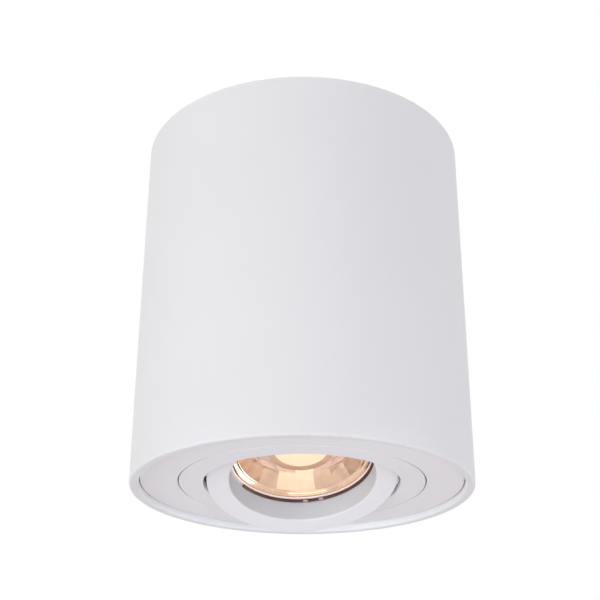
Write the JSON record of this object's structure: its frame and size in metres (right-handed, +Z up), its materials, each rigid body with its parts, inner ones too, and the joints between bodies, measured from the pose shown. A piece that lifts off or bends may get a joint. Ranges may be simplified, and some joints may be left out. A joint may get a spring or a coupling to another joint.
{
  "type": "ceiling spotlight",
  "caption": "Round white surface-mounted ceiling spotlight: a tube with a recessed bezel, a swivel ring and a tilting ring that holds a lit twist-lock reflector lamp.",
  "frame": {"origin": "middle of the flat upper face that lies against the ceiling", "axes": "+Z up into the ceiling along the tube's axis; the pictured side faces -Y; X along the two ceiling screw slots"},
  "size_m": [0.118, 0.118, 0.1364],
  "materials": {
    "white_powder_coat": "fine matt white powder coat",
    "ring_powder_coat": "smooth matt white powder coat",
    "plain_aluminium": "plain rolled sheet",
    "screw_steel": "zinc plated",
    "spring_steel": "bright strip",
    "clip_steel": "dark spring wire",
    "grommet_rubber": "soft black rubber",
    "terminal_plastic": "moulded, off white",
    "terminal_brass": "nickel free brass",
    "slip_plastic": "slippery white plastic",
    "live_sleeve": "silicone sleeve, brown",
    "neutral_sleeve": "silicone sleeve, blue",
    "earth_sleeve": "silicone sleeve, green",
    "holder_ceramic": "unglazed white ceramic",
    "lens_glass": "clear, faintly pink",
    "copper_mirror": "metallised, copper tone",
    "glowing_disc": "diffuser, lit warm white",
    "board": "coated circuit board",
    "lamp_plastic": "moulded white"
  },
  "bodies": {
    "housing": {"housing_tube": "white_powder_coat", "ceiling_plate": "plain_aluminium", "ceiling_plate_screws": "screw_steel", "cable_grommet": "grommet_rubber", "terminal_block": "terminal_plastic", "terminal_clamps": "terminal_brass", "terminal_screws": "screw_steel", "terminal_fixing_screws": "screw_steel", "earth_screw": "screw_steel", "earth_tag": "terminal_brass", "earth_lead": "earth_sleeve", "front_bezel": "ring_powder_coat", "bezel_springs": "spring_steel", "bezel_rivets": "screw_steel", "swivel_retainers": "spring_steel", "retainer_screws": "screw_steel", "live_lead": "live_sleeve", "neutral_lead": "neutral_sleeve"},
    "swivel": {"swivel_ring": "ring_powder_coat", "pivot_spacers": "slip_plastic", "pivot_springs": "spring_steel"},
    "tilt": {"tilt_ring": "ring_powder_coat", "lamp_retaining_wire": "clip_steel", "wire_sleeves": "slip_plastic", "pivot_screws": "screw_steel", "lampholder_bracket": "spring_steel", "bracket_screws": "screw_steel", "lampholder_body": "holder_ceramic", "lampholder_cap": "holder_ceramic", "lampholder_contacts": "terminal_brass", "lampholder_screws": "screw_steel"},
    "lamp": {"lamp_lens": "lens_glass", "lamp_reflector": "copper_mirror", "lamp_emitter": "glowing_disc", "lamp_led_board": "board", "lamp_driver_board": "board", "lamp_shell": "lamp_plastic", "lamp_base": "lamp_plastic", "lamp_pins": "terminal_brass"}
  },
  "joints": [
    {"name": "swivel_turn", "type": "hinge", "parent": "housing", "child": "swivel", "pos_m": [0, 0, -0.12], "axis": [0, 0, 1], "range_deg": [-183.5, 166.5], "deforming": ["live_lead", "neutral_lead"]},
    {"name": "ring_tilt", "type": "hinge", "parent": "swivel", "child": "tilt", "pos_m": [0, 0, -0.122], "axis": [-0.989, -0.1478, 0], "range_deg": [-47.8, 12.2], "deforming": ["live_lead", "neutral_lead"]},
    {"name": "lamp_twist", "type": "hinge", "parent": "tilt", "child": "lamp", "pos_m": [0, 0, -0.122], "axis": [-0.0452, 0.3023, 0.9521], "range_deg": [0, 30]}
  ]
}
